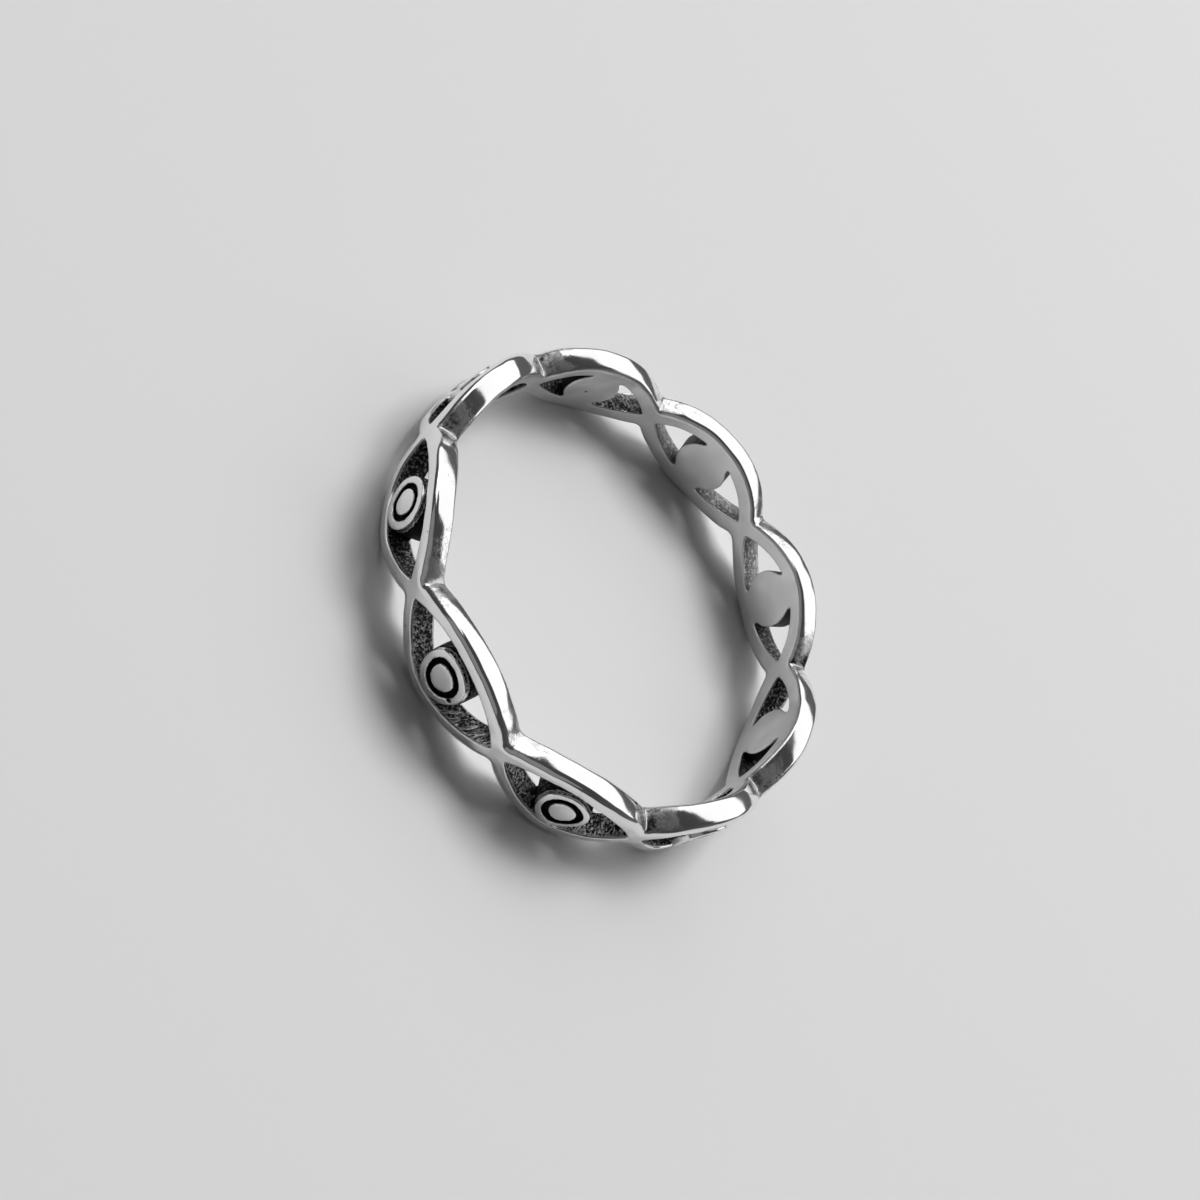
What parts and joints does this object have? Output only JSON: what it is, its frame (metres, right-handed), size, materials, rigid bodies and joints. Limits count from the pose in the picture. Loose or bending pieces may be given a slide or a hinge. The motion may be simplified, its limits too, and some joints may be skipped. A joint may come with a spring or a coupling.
{
  "type": "eye ring",
  "caption": "Pierced finger ring cast in one piece: a band of almond-shaped eyes joined corner to corner, each with a round iris, an engraved ring and a flat pupil.",
  "frame": {"origin": "on the ring's axis, level with the lowest lids that it lies on", "axes": "+Z along the axis of the finger hole, up as the ring lies; the middle of one eye faces -Y"},
  "size_m": [0.0196, 0.0195, 0.0036],
  "materials": {
    "silver": "polished cast silver, satin in the bore, blackened in the openings and in the engraved rings"
  },
  "bodies": {
    "root": {"eye_band": "silver"}
  },
  "joints": []
}
